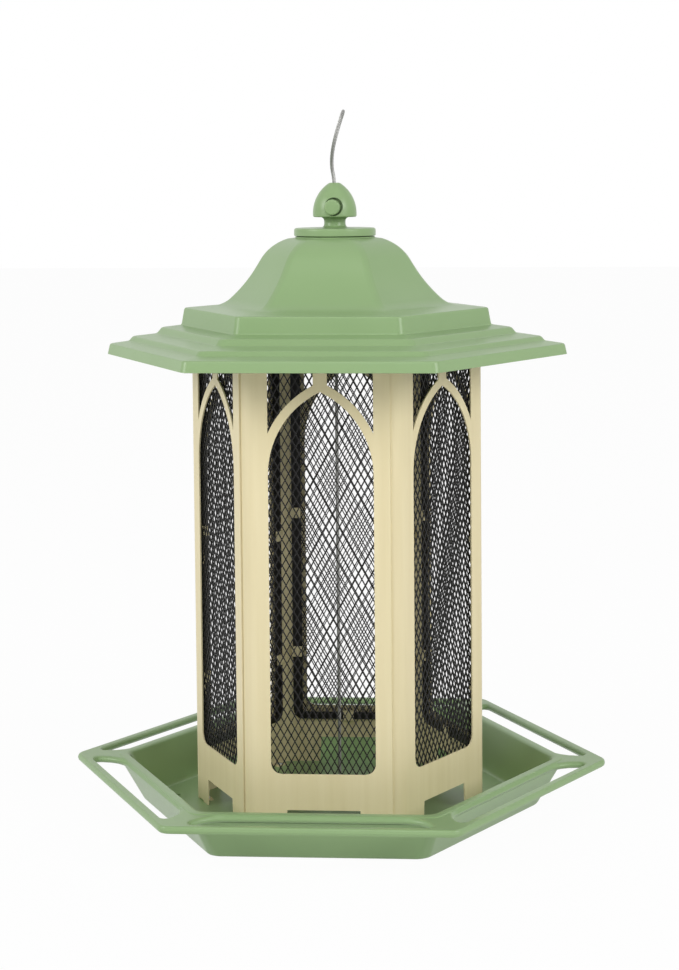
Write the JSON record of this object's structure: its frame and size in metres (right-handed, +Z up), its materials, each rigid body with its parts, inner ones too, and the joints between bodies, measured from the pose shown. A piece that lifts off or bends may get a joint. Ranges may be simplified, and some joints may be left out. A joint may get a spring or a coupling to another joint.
{
  "type": "bird feeder",
  "caption": "Hexagonal gazebo bird feeder: arched mesh walls under a stepped roof, on a seed tray with perch rails, hung by a cable through a push-button cap lock.",
  "frame": {"origin": "centre of the tray's underside, on the surface that the feeder stands on", "axes": "+Z up along the cable, -Y out of the front panel and the lock button, +-X through two corners of the hexagon"},
  "size_m": [0.268, 0.234, 0.3495],
  "materials": {
    "sage_plastic": "moulded, semi-gloss",
    "cream_enamel": "baked enamel, satin",
    "black_mesh": "black coated",
    "steel_cable": "galvanised wire rope",
    "zinc_steel": "zinc plated",
    "spring_steel": "bright"
  },
  "bodies": {
    "feeder": {"seed_tray": "sage_plastic", "panel_front": "cream_enamel", "panel_front_right": "cream_enamel", "panel_back_right": "cream_enamel", "panel_back": "cream_enamel", "panel_back_left": "cream_enamel", "panel_front_left": "cream_enamel", "screen_front": "black_mesh", "screen_front_right": "black_mesh", "screen_back_right": "black_mesh", "screen_back": "black_mesh", "screen_back_left": "black_mesh", "screen_front_left": "black_mesh", "panel_rivets": "zinc_steel", "cable_legs": "steel_cable", "cable_washer": "zinc_steel", "cable_stop": "zinc_steel"},
    "roof": {"roof_shell": "sage_plastic"},
    "cap_lock": {"lock_body": "sage_plastic", "lock_spring": "spring_steel", "cable_loop": "steel_cable"},
    "button": {"lock_button": "sage_plastic"}
  },
  "joints": [
    {"name": "roof_lift", "type": "slide", "parent": "feeder", "child": "roof", "axis": [0, 0, 1], "range_m": [0, 0.06]},
    {"name": "cap_slide", "type": "slide", "parent": "roof", "child": "cap_lock", "axis": [0, 0, 1], "range_m": [0, 0.02]},
    {"name": "button_press", "type": "slide", "parent": "cap_lock", "child": "button", "axis": [0, 1, 0], "range_m": [0, 0.0022], "stiffness_N_per_m": 600, "springref_m": -0.002, "deforming": ["lock_spring"]}
  ]
}
